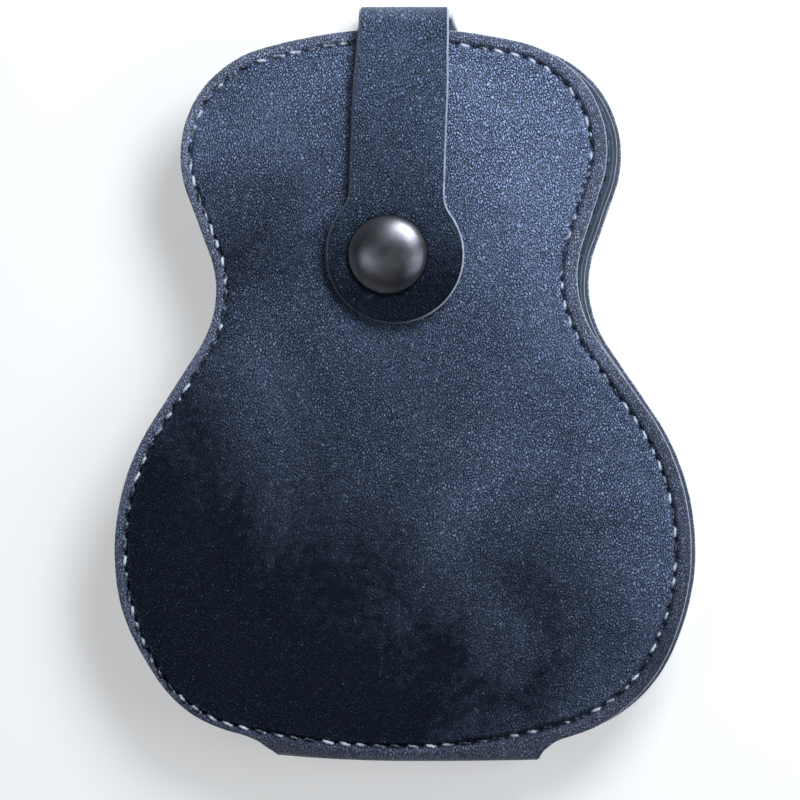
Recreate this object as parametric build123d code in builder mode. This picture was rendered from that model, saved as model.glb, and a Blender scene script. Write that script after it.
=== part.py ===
from build123d import *
import os
from math import cos, radians, sin

# A folding leather holder for guitar picks, in the outline of a guitar's body.
# Two stitched covers share one fold along the bottom edge, and a strap that is
# cut in one with the back cover comes over the top and snaps onto the front.
#
# Frame: the closed holder lies on its back cover. The origin is the middle of the
# resting face, +X is the holder's right, +Y points to the strap's bend and +Z
# comes out of the front face. Millimetres and degrees.

# Whole object
body_height = 114.2
case_thickness = 12.5
fold_y = -57.0

# Guitar outline: the right half, as tangent arcs from the top centre downwards
top_radius, top_turn = 79.0, 15.0
upper_bout_radius, upper_bout_turn = 17.3, 94.3
flank_length = 9.6
waist_radius, waist_turn = 16.9, 53.3
hip_length = 13.3
lower_bout_radius, lower_bout_turn = 37.7, 62.7
base_radius, base_turn = 22.1, 45.3
bottom_turn = 180 - top_turn - upper_bout_turn + waist_turn - lower_bout_turn - base_turn

# Fold tab at the bottom and strap root at the top
tab_half_width = 20.4
tab_height = 7.0
tab_flare = 0.8
strap_x = -0.45
strap_half_width = 7.25
strap_flare = 1.5

# Material thicknesses
leather = 1.4
stiffener = 0.5
lining = 1.1
pocket_sheet = 0.7

# Insets from the outline's edge
stiffener_inset = 5.0
seam_inset = 2.0
pocket_inset = 1.2

# Folds: each crease is a round bead of leather on its hinge line
bead_radius = leather / 2
crease_gap = 0.3
fold_end = 2 * bead_radius + crease_gap
front_skew = 1.3

# Pockets: height of each lip above the fold, and how many pockets it opens into
pocket_lips = [28.0, 54.0, 79.0, 103.0]
pocket_counts = [3, 2, 2, 2]
pocket_width = 27.0
first_pocket_bottom = 4.5
lip_overlap = 5.0
step_land = 1.0
thumb_radius = 9.0
thumb_depth = 3.0

# Thread
stitch_pitch = 2.65
stitch_length = 2.0
thread = 0.6

# Strap
strap_reach = 117.5
strap_gap = 1.2
strap_lean = 2.0
strap_drop = 37.95
strap_tab_radius = 10.8
strap_neck_fillet = 5.0

# Snap fastener
cap_radius = 6.25
cap_offset = 1.1
cap_height = 2.1
crown_radius, crown_turn = 16.0, 14.0
cap_sink = 0.2
cap_edge = 0.45
post_radius = 2.6
post_bore = 2.3
post_hole_gap = 0.05
socket_radius = 5.1
socket_mouth = 2.25
socket_groove = 2.75
socket_floor = 0.25
socket_lip = 0.25
socket_sink = 0.5
spring_radius = 2.1
spring_wire = 0.2
spring_slot = 0.8
spring_gap = 0.05
socket_clearance = 0.2
stud_flange_radius = 4.5
stud_flange = 0.5
stud_neck_radius = 1.7
stud_head_radius = 2.1
stud_height = 2.5
stud_flange_bevel = 0.15
stud_head_bevel = 0.4
stud_neck_height = 0.9
stud_bore = 1.2
stud_tube_radius = 1.5
eyelet_flange_radius = 4.0
eyelet_flange = 0.4
eyelet_clearance = 0.05
eyelet_recess = 0.3

# Heights above the resting face
flap_floor = case_thickness + strap_gap
flap_top = flap_floor + leather
flap_middle = flap_floor + bead_radius
strap_y = fold_y + strap_reach - bead_radius
crease_y = fold_y + bead_radius
lining_top = leather + lining
stack_height = lining_top + pocket_sheet

# Each cover is drawn on its own outer face, with its first axis across the holder,
# its second towards the strap and its normal pointing into the holder.
back_face = Plane(origin=(0, fold_y, 0), x_dir=(1, 0, 0), z_dir=(0, 0, 1))
front_face = Plane(
    origin=(0, fold_y, case_thickness),
    x_dir=(-cos(radians(front_skew)), -sin(radians(front_skew)), 0),
    z_dir=(0, 0, -1),
)
faces = {"back": back_face, "front": front_face}

# The strap's flap leans about the middle of its crease.
flap_face = Plane(
    origin=(strap_x, strap_y, flap_floor),
    x_dir=(cos(radians(strap_lean)), -sin(radians(strap_lean)), 0),
    z_dir=(0, 0, 1),
)
flap_cut = Plane(origin=(0, strap_y - fold_end + bead_radius, 0), z_dir=(0, -1, 0))
cover_cut = Plane(origin=(0, fold_y + fold_end, 0), z_dir=(0, 1, 0))
snap_centre = flap_face.from_local_coords(Vector(-cap_offset, -strap_drop, 0))
snap_in_cover = front_face.to_local_coords(Vector(snap_centre.X, snap_centre.Y, case_thickness))


# Shared outlines, in a cover's own plane

with BuildSketch() as body_outline:
    with BuildLine():
        top = JernArc((0, body_height), (1, 0), top_radius, -top_turn)
        upper_bout = JernArc(top @ 1, top % 1, upper_bout_radius, -upper_bout_turn)
        flank = Line(upper_bout @ 1, (upper_bout @ 1) + (upper_bout % 1) * flank_length)
        waist = JernArc(flank @ 1, flank % 1, waist_radius, waist_turn)
        hip = Line(waist @ 1, (waist @ 1) + (waist % 1) * hip_length)
        lower_bout = JernArc(hip @ 1, hip % 1, lower_bout_radius, -lower_bout_turn)
        base = JernArc(lower_bout @ 1, lower_bout % 1, base_radius, -base_turn)
        bottom_radius = (base @ 1).X / sin(radians(bottom_turn))
        JernArc(base @ 1, base % 1, bottom_radius, -bottom_turn)
        mirror(about=Plane.YZ)
    make_face()

with BuildSketch() as cover_outline:
    add(body_outline.sketch)
    Rectangle(2 * tab_half_width, tab_height, align=(Align.CENTER, Align.MIN))
    tab_roots = cover_outline.vertices().filter_by_position(Axis.Y, 2.0, 3.5)
    fillet(tab_roots, tab_flare)

with BuildSketch() as strap_stub:
    add(cover_outline.sketch)
    with Locations((strap_x, strap_reach - 2 * bead_radius - crease_gap)):
        Rectangle(2 * strap_half_width, 2 * tab_height, align=(Align.CENTER, Align.MAX))
    roots = strap_stub.vertices().filter_by_position(Axis.Y, body_height - 1.5, body_height)
    fillet(roots, strap_flare)

with BuildSketch() as pocket_outline:
    add(body_outline.sketch)
    offset(amount=-pocket_inset)

with BuildSketch() as seam_outline:
    add(body_outline.sketch)
    offset(amount=-seam_inset)


def stitch_places(wire, pitch):
    """Evenly spaced places along a wire, each turned along it."""
    count = round(wire.length / pitch)
    places = []
    for i in range(count):
        point = wire.position_at(i / count)
        angle = wire.tangent_angle_at(i / count)
        places.append(Location((point.X, point.Y, 0), (0, 0, angle)))
    return places


def divider_xs(tier):
    """Where the seams between a tier's pockets stand, across the holder."""
    if pocket_counts[tier] == 3:
        return [-pocket_width / 2, pocket_width / 2]
    return [0.0]


def pocket_xs(tier):
    """The middle of each pocket's mouth in a tier."""
    half = (pocket_counts[tier] - 1) / 2
    return [(i - half) * pocket_width for i in range(pocket_counts[tier])]


def tier_bottom(tier):
    """The height of a tier's lower edge, tucked under the lip below it."""
    if tier == 0:
        return first_pocket_bottom
    return pocket_lips[tier - 1] - lip_overlap + crease_gap


def save(piece, name):
    """Label a finished piece and write it."""
    piece.label = name
    export_step(piece, f"parts/{name}.step")


os.makedirs("parts", exist_ok=True)


# Covers: the same layers on both sides, each built inwards from its outer face

for side, face in faces.items():
    # Outer leather. The back one carries the strap's root, and the front one
    # has the hole for the snap's stud.
    with BuildPart() as cover:
        with BuildSketch(face):
            add(strap_stub.sketch if side == "back" else cover_outline.sketch)
        extrude(amount=leather)
        split(bisect_by=cover_cut, keep=Keep.TOP)
        if side == "front":
            with Locations(Plane(origin=(snap_centre.X, snap_centre.Y, case_thickness))):
                Hole(stud_tube_radius + eyelet_clearance, depth=leather)
    save(cover.part, f"{side}_cover_leather")

    # Stiffening board, sealed between the leather and the lining
    with BuildPart() as board:
        with BuildSketch(face.offset(leather)):
            add(body_outline.sketch)
            offset(amount=-stiffener_inset)
            if side == "front":
                with Locations((snap_in_cover.X, snap_in_cover.Y)):
                    Circle(eyelet_flange_radius + crease_gap, mode=Mode.SUBTRACT)
        extrude(amount=stiffener)
    save(board.part, f"{side}_stiffener")

    # Lining, hollowed on its outer side for the board
    with BuildPart() as inner_lining:
        with BuildSketch(face.offset(leather)):
            add(cover_outline.sketch)
        extrude(amount=lining)
        with BuildSketch(face.offset(leather)):
            add(body_outline.sketch)
            offset(amount=-stiffener_inset)
        extrude(amount=stiffener, mode=Mode.SUBTRACT)
        split(bisect_by=cover_cut, keep=Keep.TOP)
    save(inner_lining.part, f"{side}_lining")

    # Pocket sheets, shingled: each lip lies over the lower edge of the next sheet
    for tier, lip in enumerate(pocket_lips):
        bottom = tier_bottom(tier)
        last = tier == len(pocket_lips) - 1
        low_end = lip if last else lip - lip_overlap
        with BuildPart() as sheet:
            with BuildSketch(face.offset(lining_top)):
                add(pocket_outline.sketch)
                with Locations((0, bottom)):
                    Rectangle(
                        body_height,
                        low_end - bottom,
                        align=(Align.CENTER, Align.MIN),
                        mode=Mode.INTERSECT,
                    )
                if last:
                    with Locations(*[(x, lip + thumb_radius - thumb_depth) for x in pocket_xs(tier)]):
                        Circle(thumb_radius, mode=Mode.SUBTRACT)
            extrude(amount=pocket_sheet)
            if not last:
                with BuildSketch(face.offset(lining_top + pocket_sheet)):
                    add(pocket_outline.sketch)
                    with Locations((0, low_end - step_land)):
                        Rectangle(
                            body_height,
                            lip_overlap + step_land,
                            align=(Align.CENTER, Align.MIN),
                            mode=Mode.INTERSECT,
                        )
                    with Locations(*[(x, lip + thumb_radius - thumb_depth) for x in pocket_xs(tier)]):
                        Circle(thumb_radius, mode=Mode.SUBTRACT)
                extrude(amount=pocket_sheet)
        save(sheet.part, f"{side}_pocket_tier_{tier + 1}")

    # Edge seam: one thread bar through the whole stack for each stitch
    seam = seam_outline.sketch.faces()[0].outer_wire()
    seam_height = stack_height - crease_gap
    with BuildPart(face.offset(thread / 4)) as edge_seam:
        with Locations(*stitch_places(seam, stitch_pitch)):
            Box(
                stitch_length,
                thread,
                seam_height,
                align=(Align.CENTER, Align.CENTER, Align.MIN),
            )
    save(edge_seam.part, f"{side}_seam_stitches")

    # Seams between the pockets, through the sheets and the lining only
    with BuildPart(face.offset(leather + stiffener + thread / 4)) as pocket_seams:
        for tier, lip in enumerate(pocket_lips):
            bottom = tier_bottom(tier)
            run = lip - bottom - 2 * lip_overlap - thumb_depth
            count = round(run / stitch_pitch)
            for x in divider_xs(tier):
                with Locations((x, bottom + lip_overlap + run / 2)):
                    with GridLocations(1, stitch_pitch, 1, count):
                        Box(
                            thread,
                            stitch_length,
                            lining - stiffener + pocket_sheet,
                            align=(Align.CENTER, Align.CENTER, Align.MIN),
                        )
    save(pocket_seams.part, f"{side}_pocket_stitches")


# Fold: the strip of leather between the two creases, and its lining

with BuildPart() as spine:
    with BuildSketch(Plane.YZ.offset(-tab_half_width)):
        with Locations((crease_y, case_thickness / 2)):
            SlotCenterToCenter(case_thickness - leather, leather, rotation=90)
    extrude(amount=2 * tab_half_width)
save(spine.part, "spine_leather")

with BuildPart() as spine_inner:
    with BuildSketch(Plane.YZ.offset(-tab_half_width)):
        with Locations((crease_y + leather / 2, case_thickness / 2)):
            Rectangle(
                pocket_sheet,
                case_thickness - 2 * (stack_height + crease_gap),
                align=(Align.MIN, Align.CENTER),
            )
    extrude(amount=2 * tab_half_width)
save(spine_inner.part, "spine_lining")


# Strap: the rise from the back cover's root, and the flap over the front

with BuildPart() as rise:
    with BuildSketch(Plane.YZ.offset(strap_x - strap_half_width)):
        with Locations((strap_y, (bead_radius + flap_middle) / 2)):
            SlotCenterToCenter(flap_middle - bead_radius, leather, rotation=90)
    extrude(amount=2 * strap_half_width)
save(rise.part, "strap_rise_leather")

with BuildPart() as flap:
    with BuildSketch(flap_face) as flap_outline:
        Rectangle(2 * strap_half_width, strap_drop, align=(Align.CENTER, Align.MAX))
        with Locations((0, -strap_drop)):
            Circle(strap_tab_radius)
        neck = flap_outline.vertices().filter_by_position(
            Axis.Y, -strap_drop + strap_neck_fillet, -strap_neck_fillet
        )
        fillet(neck, strap_neck_fillet)
    extrude(amount=leather)
    split(bisect_by=flap_cut, keep=Keep.TOP)
    with Locations(Plane(origin=(snap_centre.X, snap_centre.Y, flap_top))):
        CounterBoreHole(
            post_radius + post_hole_gap,
            cap_radius + post_hole_gap,
            cap_sink,
            depth=leather,
        )
    with BuildSketch(Plane(origin=(snap_centre.X, snap_centre.Y, flap_floor))):
        Circle(socket_radius + post_hole_gap)
    extrude(amount=socket_sink, mode=Mode.SUBTRACT)
save(flap.part, "strap_flap_leather")


# Snap fastener: cap, socket and spring ring on the flap, stud and eyelet on the cover

snap_profile = Plane(origin=(snap_centre.X, snap_centre.Y, 0), x_dir=(1, 0, 0), z_dir=(0, -1, 0))
snap_line = Axis((snap_centre.X, snap_centre.Y, 0), (0, 0, 1))
cap_rim = flap_top - cap_sink
cap_crown = flap_top + cap_height
socket_bottom = case_thickness + stud_flange + socket_clearance
socket_top = flap_floor + socket_sink
post_end = socket_top - socket_lip
spring_z = socket_bottom + socket_floor + spring_wire + spring_gap
stud_base = case_thickness + stud_flange
stud_top = case_thickness + stud_height

with BuildPart() as cap:
    with BuildSketch(snap_profile):
        with BuildLine():
            crown = JernArc((0, cap_crown), (1, 0), crown_radius, -crown_turn)
            shoulder = TangentArc(
                crown @ 1,
                (cap_radius, cap_rim + cap_edge),
                tangent=crown % 1,
            )
            Polyline(
                shoulder @ 1,
                (cap_radius, cap_rim),
                (post_bore, cap_rim),
                (post_bore, stud_top + crease_gap),
                (0, stud_top + crease_gap),
                (0, cap_crown),
            )
        make_face()
    revolve(axis=snap_line)
    with BuildSketch(Plane(origin=(snap_centre.X, snap_centre.Y, post_end))):
        Circle(post_radius)
        Circle(post_bore, mode=Mode.SUBTRACT)
    extrude(amount=cap_rim - post_end)
save(cap.part, "snap_cap")

with BuildPart() as socket:
    with BuildSketch(snap_profile):
        with BuildLine():
            Polyline(
                (socket_mouth, socket_bottom),
                (socket_radius, socket_bottom),
                (socket_radius, socket_top),
                (post_radius + post_hole_gap, socket_top),
                (post_radius + post_hole_gap, post_end),
                (socket_groove, post_end),
                (socket_groove, socket_bottom + socket_floor),
                (socket_mouth, socket_bottom + socket_floor),
                close=True,
            )
        make_face()
    revolve(axis=snap_line)
save(socket.part, "snap_socket")

with BuildPart() as spring:
    with BuildSketch(snap_profile):
        with Locations((spring_radius, spring_z)):
            Circle(spring_wire)
    revolve(axis=snap_line)
    with Locations((snap_centre.X, snap_centre.Y + spring_radius, spring_z)):
        Box(spring_slot, 4 * spring_wire, 4 * spring_wire, mode=Mode.SUBTRACT)
save(spring.part, "snap_spring_ring")

with BuildPart() as stud:
    with BuildSketch(snap_profile):
        with BuildLine():
            Polyline(
                (stud_bore, case_thickness - leather),
                (stud_tube_radius, case_thickness - leather),
                (stud_tube_radius, case_thickness),
                (stud_flange_radius, case_thickness),
                (stud_flange_radius, stud_base - stud_flange_bevel),
                (stud_flange_radius - 2 * stud_flange_bevel, stud_base),
                (stud_neck_radius, stud_base),
                (stud_neck_radius, stud_base + stud_neck_height),
                (stud_head_radius, stud_base + stud_neck_height + stud_flange_bevel),
                (stud_head_radius, stud_top - stud_head_bevel),
                (stud_head_radius - stud_head_bevel, stud_top),
                (stud_bore, stud_top),
                close=True,
            )
        make_face()
    revolve(axis=snap_line)
save(stud.part, "snap_stud")

with BuildPart() as eyelet:
    with BuildSketch(snap_profile):
        with BuildLine():
            Polyline(
                (0, case_thickness - leather - eyelet_flange),
                (eyelet_flange_radius, case_thickness - leather - eyelet_flange),
                (eyelet_flange_radius, case_thickness - leather),
                (stud_bore - eyelet_clearance, case_thickness - leather),
                (stud_bore - eyelet_clearance, stud_top - eyelet_recess),
                (0, stud_top - eyelet_recess),
                close=True,
            )
        make_face()
    revolve(axis=snap_line)
save(eyelet.part, "snap_eyelet")
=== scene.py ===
from math import cos, pi, radians, sin

import bmesh
import bpy
import numpy as np
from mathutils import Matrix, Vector, noise
from mathutils.geometry import delaunay_2d_cdt
from mathutils.kdtree import KDTree


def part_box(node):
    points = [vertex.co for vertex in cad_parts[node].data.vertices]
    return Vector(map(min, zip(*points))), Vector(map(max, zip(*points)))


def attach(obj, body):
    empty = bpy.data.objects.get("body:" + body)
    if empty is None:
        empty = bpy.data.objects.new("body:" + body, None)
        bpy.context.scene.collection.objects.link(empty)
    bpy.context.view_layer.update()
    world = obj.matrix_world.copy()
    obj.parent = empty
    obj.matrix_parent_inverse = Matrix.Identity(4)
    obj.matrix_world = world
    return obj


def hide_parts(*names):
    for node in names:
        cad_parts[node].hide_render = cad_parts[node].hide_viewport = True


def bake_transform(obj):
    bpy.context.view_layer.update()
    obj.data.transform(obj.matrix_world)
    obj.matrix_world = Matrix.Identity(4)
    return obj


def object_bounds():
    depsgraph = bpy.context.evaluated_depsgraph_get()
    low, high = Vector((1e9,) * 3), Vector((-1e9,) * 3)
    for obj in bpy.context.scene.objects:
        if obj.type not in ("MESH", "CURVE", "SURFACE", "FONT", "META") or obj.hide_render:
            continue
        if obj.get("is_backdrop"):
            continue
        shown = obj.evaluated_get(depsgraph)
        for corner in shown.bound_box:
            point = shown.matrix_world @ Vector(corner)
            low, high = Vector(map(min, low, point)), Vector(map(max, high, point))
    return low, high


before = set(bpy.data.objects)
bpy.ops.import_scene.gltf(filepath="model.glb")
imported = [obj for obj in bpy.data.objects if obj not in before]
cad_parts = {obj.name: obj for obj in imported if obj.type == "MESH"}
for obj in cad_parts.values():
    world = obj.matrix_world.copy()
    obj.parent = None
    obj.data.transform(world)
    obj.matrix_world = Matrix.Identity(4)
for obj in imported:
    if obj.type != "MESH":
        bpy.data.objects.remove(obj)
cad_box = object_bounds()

# A closed folding pick holder of navy leather, lying on its back cover. Sizes are
# in millimetres until a mesh is made. A cover is drawn flat, in its own pattern:
# x across, y up from the fold, and h out of its outer face.

METRES = 0.001
GRAIN_UNIT = 100.0  # the leather's texture coordinates count in this many millimetres


def node_box(node):
    """A CAD node's lowest and highest corners, in millimetres."""
    low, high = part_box(node)
    return np.array(low) / METRES, np.array(high) / METRES


# ---------------- sizes from the frame

spine_low, spine_high = node_box("spine_leather")
rise_low, rise_high = node_box("strap_rise_leather")
cap_low, cap_high = node_box("snap_cap")

fold_y = spine_low[1]
thickness = spine_high[2]
leather = node_box("back_cover_leather")[1][2]
lining_face = node_box("back_lining")[1][2]
strap_reach = rise_high[1] - fold_y
flap_top = rise_high[2]
cap_centre = (cap_low + cap_high)[:2] / 2
cap_radius = (cap_high - cap_low)[0] / 2

tier_names = [f"pocket_tier_{i}" for i in (1, 2, 3, 4)]
tier_boxes = [node_box(f"back_{name}") for name in tier_names]
tier_bottoms = [low[1] - fold_y for low, high in tier_boxes]
tier_lips = [high[1] - fold_y for low, high in tier_boxes]
pocket_sheet = tier_boxes[-1][1][2] - lining_face
pocket_counts = [3, 2, 2, 2]
pocket_width = 27.0

# The guitar outline's right half, from the top centre: (radius, turn to the right in degrees),
# or (length, 0) for a straight run. A last arc closes it at the bottom.
body_height = 114.2
outline_arcs = [
    (79.0, 15.0), (17.3, 94.3), (9.6, 0), (16.9, -53.3), (13.3, 0), (37.7, 62.7), (22.1, 45.3),
]
outline_step = 0.27

# Fold and strap
front_skew = radians(1.3)
skew_fade = 8.0
fold_radius = 1.9
tab_corner = 20.2
tab_side = 20.0
flare_start = 24.4
tab_run = 1.5
strap_radius = 3.0
strap_x = (rise_low[0] + rise_high[0]) / 2
strap_lean = radians(2.0)
strap_bow = 0.2
strap_run = 1.0
tab_radius = 10.8
neck_radius = 5.0
tab_drop = (strap_reach - strap_radius - (cap_centre[1] - fold_y)) / cos(strap_lean)

# Seams and edges
seam_inset = 2.0
seam_drift = -0.45
stitch_pitch = 2.65
stitch_reach = 2.15
inner_stitch_reach = 2.0
thread_radius = 0.27
pocket_inset = 1.2
lining_edge = 0.65
scallop_depth = 3.0
scallop_radius = 8.0
hairline = 0.02

# Snap: radii of its turned parts
post_bore, post_radius = 2.3, 2.6
socket_mouth, socket_groove, socket_radius = 2.25, 2.7, 5.1
stud_bore, stud_tube, stud_neck, stud_head, stud_flange = 1.2, 1.5, 1.7, 2.1, 4.5
cap_rim = 0.95


# ---------------- outlines

def smooth(t):
    """An even rise from 0 to 1 as t goes from 0 to 1."""
    t = np.clip(t, 0, 1)
    return t * t * (3 - 2 * t)


def walk(start, runs, step):
    """Points along straight and round runs, each (length, turn to the left in radians), heading +x."""
    points, (x, y), heading = [start], start, 0.0
    for length, turn in runs:
        count = max(2, round(length / step))
        bend = turn / length
        s = length * np.arange(1, count + 1) / count
        if abs(bend) < 1e-9:
            xs, ys = x + s * cos(heading), y + s * sin(heading)
        else:
            xs = x + (np.sin(heading + bend * s) - sin(heading)) / bend
            ys = y - (np.cos(heading + bend * s) - cos(heading)) / bend
        points += list(zip(xs, ys))
        (x, y), heading = points[-1], heading + turn
    return np.array(points), heading


def resample(points, step, closed=True):
    """The same line with evenly spaced points."""
    line = np.vstack([points, points[:1]]) if closed else points
    s = np.r_[0, np.cumsum(np.hypot(*np.diff(line, axis=0).T))]
    count = max(3, round(s[-1] / step))
    at = np.linspace(0, s[-1], count, endpoint=not closed)
    return np.c_[np.interp(at, s, line[:, 0]), np.interp(at, s, line[:, 1])]


def normals(loop):
    """The inward normals of a closed clockwise loop."""
    along = np.roll(loop, -1, 0) - np.roll(loop, 1, 0)
    along /= np.hypot(*along.T)[:, None]
    return np.c_[along[:, 1], -along[:, 0]]


def inset(loop, amount):
    """The loop drawn in by an amount, or by one for each point."""
    return loop + normals(loop) * amount


def row(x, y):
    """Points at each x, all at the same y."""
    return np.c_[x, np.full(len(x), y)]


def guitar_half():
    """The right half of the guitar outline, from the top centre to the bottom centre."""
    runs = []
    for radius, turn in outline_arcs:
        runs.append((radius * radians(abs(turn)), -radians(turn)) if turn else (radius, 0.0))
    points, heading = walk((0.0, body_height), runs, 0.1)
    left = pi + heading
    runs.append((points[-1][0] / sin(left) * left, -left))
    return walk((0.0, body_height), runs, 0.1)[0]


half = guitar_half()
body_loop = resample(np.vstack([half, half[-2:0:-1] * (-1, 1)]), outline_step)


def half_width(y, amount):
    """How far the outline, drawn in by amount, reaches from the centre line at height y."""
    right = inset(body_loop, amount)
    right = right[right[:, 0] > 0]
    right = right[np.argsort(right[:, 1])]
    return np.interp(y, right[:, 1], right[:, 0])


def bezier(a, b, c, d, count):
    """Points on a cubic curve from a to d."""
    t = np.linspace(0, 1, count)[:, None]
    a, b, c, d = (np.array(p, float) for p in (a, b, c, d))
    return a * (1 - t) ** 3 + 3 * b * t * (1 - t) ** 2 + 3 * c * t**2 * (1 - t) + d * t**3


pattern_turn = (fold_radius - leather / 2) * pi / 2
pattern_end = fold_radius - pattern_turn - tab_run


def cover_pattern(side):
    """A cover's cut edge in its flat pattern: the guitar outline, flared into the fold's tab."""
    right = half[(half[:, 0] > flare_start) | (half[:, 1] > body_height / 2)]
    start = right[-1]
    heading = (right[-1] - right[-4]) / np.hypot(*(right[-1] - right[-4]))
    corner = np.array([tab_corner, fold_radius - pattern_turn])
    flare = bezier(start, start + 2.0 * heading, corner + (1.0, 1.7), corner, 22)
    end = resample(np.array([corner, (tab_side, pattern_end)]), 0.3, closed=False)
    half_edge = np.vstack([right, flare[1:], end[1:]])
    left_edge = half_edge * (-1, 1)
    if side == "back":
        half_edge, left_edge = add_tongue(half_edge, 1), add_tongue(left_edge, -1)
    base = row(np.linspace(tab_side, -tab_side, 60)[1:-1], pattern_end)
    return np.vstack([half_edge, base, left_edge[:0:-1]])


strap_start = body_height - 1.6
tongue_end = strap_reach - strap_radius - strap_start


def add_tongue(edge, side):
    """One side of the back cover's edge, with the tongue that widens it into the strap's root."""
    s = np.linspace(tongue_end, 1.15, 8)
    flank = np.c_[strap_x + side * strap_half_width(s), strap_start + s]
    end = row(np.linspace(strap_x, flank[0][0], 30)[:-1], strap_start + tongue_end)
    clear = side * edge[:, 0] > side * strap_x + strap_half_width(1.0)
    return np.vstack([end, flank, edge[clear | (edge[:, 1] < body_height / 2)]])


def strap_half_width(s):
    """Half the strap's width, s along it: flared at its root, and wider again past the top bend."""
    over = tongue_end + (strap_radius - leather / 2) * pi + flap_top - 2 * strap_radius
    return 7.0 + 3.6 * np.exp(-s / 1.6) + 0.45 * smooth((s - over + 1) / 12)


def soften(loop, window, step=0.05):
    """The loop with its corners rounded, by averaging along it over a window's length."""
    fine = resample(loop, step)
    reach = round(window / step / 2)
    return np.mean([np.roll(fine, k, 0) for k in range(-reach, reach + 1)], axis=0)


def nearest_tree(points):
    tree = KDTree(len(points))
    for i, p in enumerate(points):
        tree.insert((p[0], p[1], 0), i)
    tree.balance()
    return tree


def inside(points, loop, gap):
    """Which points lie inside the loop, at least gap away from it."""
    x, y = points[:, 0][:, None], points[:, 1][:, None]
    x0, y0 = loop.T
    x1, y1 = np.roll(loop, -1, 0).T
    crossing = ((y0 > y) != (y1 > y)) & (x < (x1 - x0) * (y - y0) / (y1 - y0 + 1e-12) + x0)
    found = crossing.sum(1) % 2 == 1
    tree = nearest_tree(loop)
    for i in np.flatnonzero(found):
        found[i] = tree.find((points[i][0], points[i][1], 0))[2] > gap
    return found


def grid(low, high, step):
    """A staggered grid of points."""
    rows = []
    for i, y in enumerate(np.arange(low[1], high[1], step * 0.866)):
        rows.append(row(np.arange(low[0] + (i % 2) * step / 2, high[0], step), y))
    return np.vstack(rows)


# ---------------- placing patterns in space

def fold_lift(x):
    """How far the fold's line bows up towards its ends, and more so to the left."""
    left, right = np.clip(-x, 0, None) / tab_corner, np.clip(x, 0, None) / tab_corner
    return 0.9 * left**2 + 0.25 * right**2


def place_on_cover(side):
    """Turns a cover's pattern into space: flat, then round the fold's corner and up the fold."""
    def place(x, y, h):
        bend_start = fold_radius + fold_lift(x)
        past = bend_start - y
        turn = np.clip(past / (fold_radius - leather / 2), 0, pi / 2)
        beyond = np.clip(past - pattern_turn, 0, None)
        folded = past > 0
        up = np.where(folded, bend_start - (fold_radius + h) * np.sin(turn), y)
        out = np.where(folded, -fold_radius + (fold_radius + h) * np.cos(turn) - beyond, h)
        skew = (front_skew if side == "front" else 0.0) * smooth(y / skew_fade)
        across = x * np.cos(skew) - up * np.sin(skew)
        up = up * np.cos(skew) + x * np.sin(skew)
        z = thickness + out if side == "front" else -out
        return np.c_[across, fold_y + up, z]
    return place


def place_on_spine(x, z, h):
    """The fold's straight stretch in space."""
    return np.c_[x, fold_y + fold_lift(x) - h, z]


strap_lengths = np.cumsum([
    tongue_end,
    (strap_radius - leather / 2) * pi / 2,
    flap_top - 2 * strap_radius,
    (strap_radius - leather / 2) * pi / 2,
])


def place_on_strap(x, s, h):
    """The strap's pattern in space: s runs from its root, round the root's bend, up and over."""
    root, low, rise, high = strap_lengths
    middle = strap_radius - leather / 2
    turn_low = np.clip((s - root) / middle, 0, pi / 2)
    turn_high = np.clip((s - rise) / middle, 0, pi / 2)
    reach = strap_reach - strap_radius
    y = np.where(s < root, strap_start + s, reach + (strap_radius + h) * np.sin(turn_low))
    z = np.where(s < root, -h, strap_radius - (strap_radius + h) * np.cos(turn_low))
    z = np.where(s > low, strap_radius + (s - low), z)
    y = np.where(s > rise, reach + (strap_radius + h) * np.cos(turn_high), y)
    z = np.where(s > rise, flap_top - strap_radius + (strap_radius + h) * np.sin(turn_high), z)
    drop = np.clip(s - high, 0, None)
    lean = strap_lean * smooth(drop / 4)
    bow = strap_bow * np.sin(pi * np.clip(drop / tab_drop, 0, 1))
    across = strap_x + x * np.cos(lean) - drop * np.sin(lean) - bow
    y = np.where(s > high, reach - drop * np.cos(lean) - x * np.sin(lean), y)
    return np.c_[across, fold_y + y, z]


# ---------------- making meshes

# Where one piece of leather is split between joints, one part ends just under the next
overlap = 0.8
tuck = 0.015


def level(h):
    """A face that lies at one height all over."""
    return lambda x, y: np.full(len(x), h)


flat_bottom, under_top, under_bottom = level(-leather), level(-tuck), level(tuck - leather)


def finish_mesh(name, vertices, faces, slots, uv, materials):
    """An object in the scene from points in millimetres. slots: each face's material."""
    mesh = bpy.data.meshes.new(name)
    mesh.from_pydata((np.asarray(vertices) * METRES).tolist(), [], faces)
    for material in materials:
        mesh.materials.append(material)
    mesh.polygons.foreach_set("material_index", np.array(slots, np.int32))
    if uv is not None:
        layer = mesh.uv_layers.new(name="grain")
        corners = np.empty(len(mesh.loops), np.int32)
        mesh.loops.foreach_get("vertex_index", corners)
        layer.data.foreach_set("uv", (np.asarray(uv)[corners] / GRAIN_UNIT).astype(np.float32).ravel())
    mesh.validate()
    outward(mesh)
    mesh.shade_smooth()
    piece = bpy.data.objects.new(name, mesh)
    bpy.context.scene.collection.objects.link(piece)
    return piece


def stand_in(piece, replaced, body=None):
    """The piece takes a CAD node's place. body: what it rides on; without one the piece is left unattached.
    """
    if body:
        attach(piece, body)
    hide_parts(replaced)


def outward(mesh):
    """Turns a closed mesh's faces outward."""
    work = bmesh.new()
    work.from_mesh(mesh)
    bmesh.ops.recalc_face_normals(work, faces=work.faces)
    work.to_mesh(mesh)
    work.free()


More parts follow.
